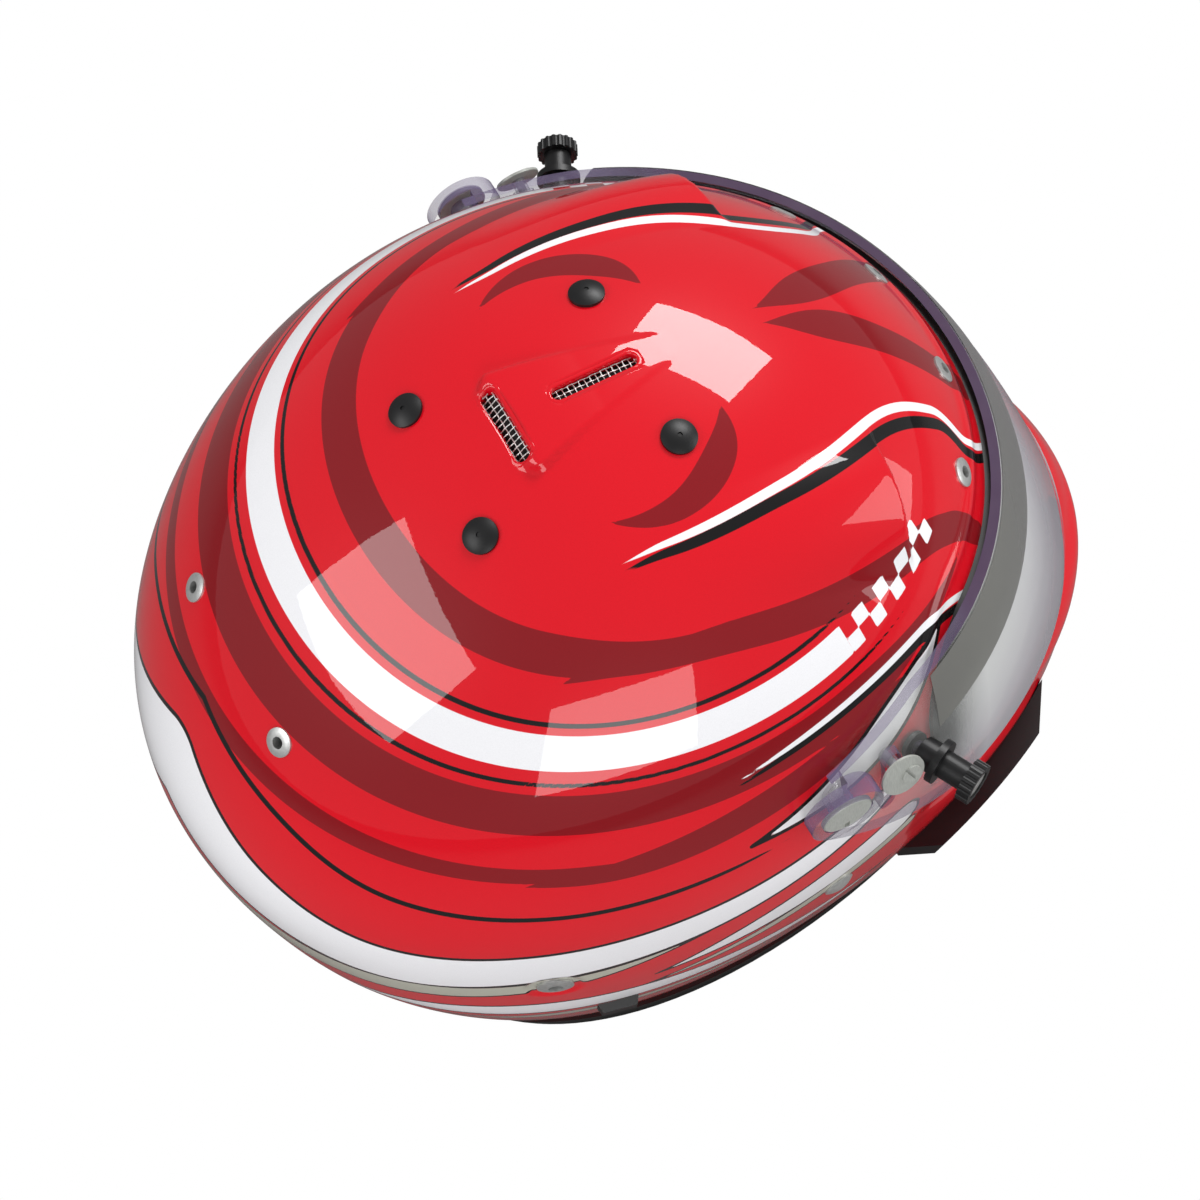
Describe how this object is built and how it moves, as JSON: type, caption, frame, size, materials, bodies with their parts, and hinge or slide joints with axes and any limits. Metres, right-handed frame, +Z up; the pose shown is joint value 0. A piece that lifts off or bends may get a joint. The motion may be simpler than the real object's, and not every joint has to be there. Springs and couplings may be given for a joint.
{
  "type": "auto racing helmet",
  "caption": "Full-face racing helmet with a hinged clear visor, tear-off posts, crown vents, foam liner, pads and a D-ring chin strap.",
  "frame": {"origin": "centre of the overall box's bottom face, on the surface that the helmet stands on", "axes": "+Z up through the crown, -Y ahead through the face opening, +X to the wearer's left"},
  "size_m": [0.2886, 0.3501, 0.2518],
  "materials": {
    "shell_paint": "glossy clear coat over paint",
    "black_rubber": "satin",
    "black_plastic": "satin",
    "clear_bush": "clear, polished",
    "clear_visor": "clear, polished",
    "sun_film": "dark film, polished",
    "eps_foam": "moulded foam",
    "pad_fabric": "brushed knit",
    "webbing": "woven",
    "steel": "satin",
    "aluminium": "bead blasted"
  },
  "bodies": {
    "helmet": {"outer_shell": "shell_paint", "base_trim": "black_rubber", "eyeport_gasket": "black_rubber", "vent_mesh_long": "steel", "vent_mesh_cross": "steel", "front_plug_left": "black_plastic", "front_plug_right": "black_plastic", "rear_plug_left": "black_plastic", "rear_plug_right": "black_plastic", "inner_brow_eyelet_left": "steel", "inner_brow_eyelet_right": "steel", "outer_brow_eyelet_left": "steel", "outer_brow_eyelet_right": "steel", "rear_eyelet_left": "steel", "rear_eyelet_right": "steel", "restraint_anchor_left": "aluminium", "restraint_anchor_right": "aluminium", "chin_strake_left": "shell_paint", "chin_strake_right": "shell_paint", "side_tab_left": "black_plastic", "side_tab_right": "black_plastic", "visor_pivot_bush_left": "clear_bush", "visor_pivot_bush_right": "clear_bush", "visor_pivot_screw_left": "aluminium", "visor_pivot_screw_right": "aluminium", "visor_pivot_nut_left": "black_plastic", "visor_pivot_nut_right": "black_plastic", "visor_guide_bush_left": "clear_bush", "visor_guide_bush_right": "clear_bush", "visor_guide_screw_left": "aluminium", "visor_guide_screw_right": "aluminium", "visor_guide_nut_left": "black_plastic", "visor_guide_nut_right": "black_plastic", "eps_liner": "eps_foam", "chin_bar_eps": "eps_foam", "chin_bar_pad": "pad_fabric", "crown_pad": "pad_fabric", "side_pad": "pad_fabric", "neck_roll": "pad_fabric", "cheek_pad_left": "pad_fabric", "cheek_pad_right": "pad_fabric", "chin_strap_left": "webbing", "chin_strap_right": "webbing", "strap_snap": "steel", "strap_rivet_left": "steel", "strap_rivet_right": "steel"},
    "visor_assembly": {"visor": "clear_visor", "visor_sun_strip": "sun_film", "tearoff_post_base_left": "black_plastic", "tearoff_post_base_right": "black_plastic", "tearoff_post_nut_left": "black_plastic", "tearoff_post_nut_right": "black_plastic"},
    "post_knob_left": {"tearoff_knob_left": "black_plastic", "tearoff_knob_face_left": "aluminium"},
    "post_knob_right": {"tearoff_knob_right": "black_plastic", "tearoff_knob_face_right": "aluminium"},
    "strap_rings": {"d_ring_upper": "steel", "d_ring_lower": "steel"}
  },
  "joints": [
    {"name": "visor_lift", "type": "hinge", "parent": "helmet", "child": "visor_assembly", "pos_m": [0, -0.0056, 0.1656], "axis": [-1, 0, 0], "range_deg": [0, 35]},
    {"name": "post_knob_left_turn", "type": "hinge", "parent": "visor_assembly", "child": "post_knob_left", "pos_m": [0.12321, -0.0396, 0.1598], "axis": [0.8988, -0.4384, 0], "range_deg": [0, 180]},
    {"name": "post_knob_right_turn", "type": "hinge", "parent": "visor_assembly", "child": "post_knob_right", "pos_m": [-0.12321, -0.0396, 0.1598], "axis": [-0.8988, -0.4384, 0], "range_deg": [0, 180]},
    {"name": "strap_ring_swing", "type": "hinge", "parent": "helmet", "child": "strap_rings", "pos_m": [0.02128, 0.00242, 0.0126], "axis": [0.1203, 0.9927, 0], "range_deg": [-15, 100]}
  ]
}
